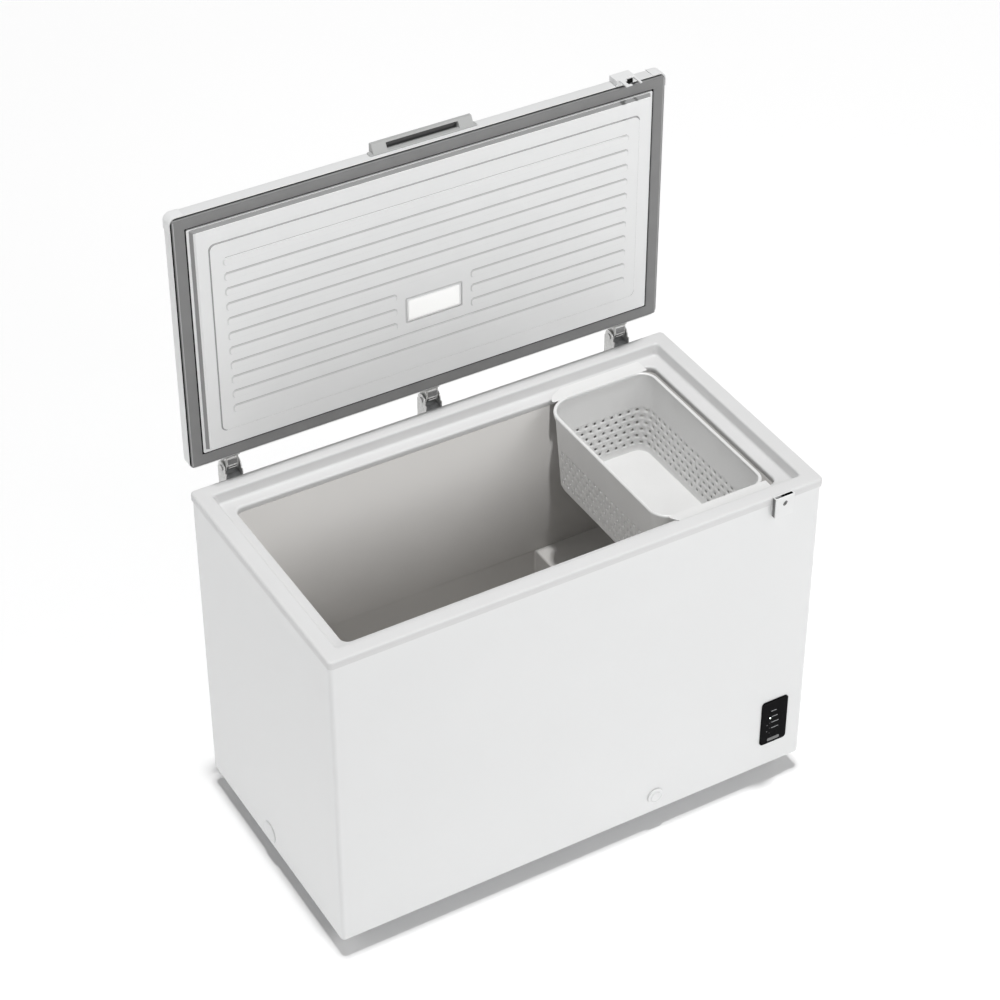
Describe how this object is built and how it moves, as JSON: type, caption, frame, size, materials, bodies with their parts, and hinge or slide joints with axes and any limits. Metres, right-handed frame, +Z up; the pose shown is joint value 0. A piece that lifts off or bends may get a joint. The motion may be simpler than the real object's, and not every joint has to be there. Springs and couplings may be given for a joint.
{
  "type": "chest freezer",
  "caption": "Free-standing chest freezer with a top-hinged lid, sliding storage basket, key lock, front control panel, drain and swivel castors; the lid stands open.",
  "frame": {"origin": "on the floor, under the centre of the cabinet's footprint", "axes": "+X across the cabinet to the right, +Y towards the rear wall with the hinges, +Z up; metres"},
  "size_m": [1.1192, 0.653, 1.437],
  "materials": {
    "painted_steel": "gloss white paint",
    "grey_steel": "pre-painted grey",
    "galvanised": "galvanised",
    "plated_steel": "zinc plated",
    "foam": "rigid foam",
    "liner_metal": "stucco embossed",
    "white_plastic": "satin",
    "basket_plastic": "satin",
    "grey_plastic": "satin",
    "black_plastic": "matt",
    "panel_black": "gloss",
    "gasket_rubber": "matt",
    "black_rubber": "matt",
    "wheel_rubber": "matt",
    "black_paint": "satin black",
    "spring_steel": "oiled",
    "copper": "bare copper",
    "coil_steel": "lacquered tube",
    "board_green": "solder mask",
    "led_clear": "clear",
    "lens_clear": "frosted"
  },
  "bodies": {
    "cabinet": {"outer_shell": "painted_steel", "rear_panel": "grey_steel", "base_plate": "galvanised", "foam_insulation": "foam", "liner_walls": "liner_metal", "liner_floor": "liner_metal", "top_collar": "white_plastic", "compressor_tray": "galvanised", "compressor": "black_paint", "compressor_grommets": "black_rubber", "relay_cover": "black_plastic", "evaporator_coil": "coil_steel", "condenser_coil": "coil_steel", "filter_drier": "copper", "refrigerant_tubes": "copper", "drain_tube": "white_plastic", "side_vent_grille": "white_plastic", "rear_service_cover": "grey_steel", "cord_gland": "black_plastic", "panel_housing": "grey_plastic", "panel_fascia": "panel_black", "control_board": "board_green", "indicator_leds": "led_clear", "lock_housing": "white_plastic", "hinge_brackets": "plated_steel", "hinge_pins": "plated_steel", "hinge_springs": "spring_steel", "cabinet_screws": "plated_steel", "side_cap": "white_plastic", "castor_plates": "plated_steel"},
    "lid": {"lid_panel": "painted_steel", "lid_foam": "foam", "lid_liner": "white_plastic", "lid_gasket": "gasket_rubber", "lid_corner_caps": "white_plastic", "lid_handle": "grey_plastic", "lid_hasp": "white_plastic", "lamp_base": "white_plastic", "lamp_board": "board_green", "lamp_lens": "lens_clear", "hinge_leaves": "plated_steel", "hinge_leaf_screws": "plated_steel"},
    "lock": {"lock_cylinder": "plated_steel", "lock_cam": "plated_steel"},
    "button": {"set_button": "grey_plastic"},
    "basket": {"basket": "basket_plastic"},
    "drain_cap": {"front_drain_cap": "white_plastic"},
    "drain_plug": {"inner_drain_plug": "white_plastic"},
    "swivel_front_left": {"castor_fork_front_left": "plated_steel", "castor_axle_front_left": "plated_steel"},
    "wheel_front_left": {"castor_wheel_front_left": "wheel_rubber"},
    "swivel_front_right": {"castor_fork_front_right": "plated_steel", "castor_axle_front_right": "plated_steel"},
    "wheel_front_right": {"castor_wheel_front_right": "wheel_rubber"},
    "swivel_rear_left": {"castor_fork_rear_left": "plated_steel", "castor_axle_rear_left": "plated_steel"},
    "wheel_rear_left": {"castor_wheel_rear_left": "wheel_rubber"},
    "swivel_rear_right": {"castor_fork_rear_right": "plated_steel", "castor_axle_rear_right": "plated_steel"},
    "wheel_rear_right": {"castor_wheel_rear_right": "wheel_rubber"}
  },
  "joints": [
    {"name": "lid_hinge", "type": "hinge", "parent": "cabinet", "child": "lid", "pos_m": [0, 0.321, 0.804], "axis": [-1, 0, 0], "range_deg": [-90, 0]},
    {"name": "lock_turn", "type": "hinge", "parent": "cabinet", "child": "lock", "pos_m": [0.457, -0.304, 0.775], "axis": [0, -1, 0], "range_deg": [0, 90]},
    {"name": "set_press", "type": "slide", "parent": "cabinet", "child": "button", "axis": [0, 1, 0], "range_m": [0, 0.001], "stiffness_N_per_m": 400, "springref_m": -0.002},
    {"name": "basket_slide", "type": "slide", "parent": "cabinet", "child": "basket", "axis": [1, 0, 0], "range_m": [-0.69, 0.01]},
    {"name": "drain_cap_pull", "type": "slide", "parent": "cabinet", "child": "drain_cap", "axis": [0, -1, 0], "range_m": [0, 0.03]},
    {"name": "drain_plug_lift", "type": "slide", "parent": "cabinet", "child": "drain_plug", "axis": [0, 0, 1], "range_m": [0, 0.06]},
    {"name": "swivel_front_left", "type": "hinge", "parent": "cabinet", "child": "swivel_front_left", "pos_m": [-0.51, -0.248, 0.03], "axis": [0, 0, 1], "continuous": true},
    {"name": "roll_front_left", "type": "hinge", "parent": "swivel_front_left", "child": "wheel_front_left", "pos_m": [-0.51, -0.236, 0.017], "axis": [1, 0, 0], "continuous": true},
    {"name": "swivel_front_right", "type": "hinge", "parent": "cabinet", "child": "swivel_front_right", "pos_m": [0.51, -0.248, 0.03], "axis": [0, 0, 1], "continuous": true},
    {"name": "roll_front_right", "type": "hinge", "parent": "swivel_front_right", "child": "wheel_front_right", "pos_m": [0.51, -0.236, 0.017], "axis": [1, 0, 0], "continuous": true},
    {"name": "swivel_rear_left", "type": "hinge", "parent": "cabinet", "child": "swivel_rear_left", "pos_m": [-0.51, 0.248, 0.03], "axis": [0, 0, 1], "continuous": true},
    {"name": "roll_rear_left", "type": "hinge", "parent": "swivel_rear_left", "child": "wheel_rear_left", "pos_m": [-0.51, 0.26, 0.017], "axis": [1, 0, 0], "continuous": true},
    {"name": "swivel_rear_right", "type": "hinge", "parent": "cabinet", "child": "swivel_rear_right", "pos_m": [0.51, 0.248, 0.03], "axis": [0, 0, 1], "continuous": true},
    {"name": "roll_rear_right", "type": "hinge", "parent": "swivel_rear_right", "child": "wheel_rear_right", "pos_m": [0.51, 0.26, 0.017], "axis": [1, 0, 0], "continuous": true}
  ]
}
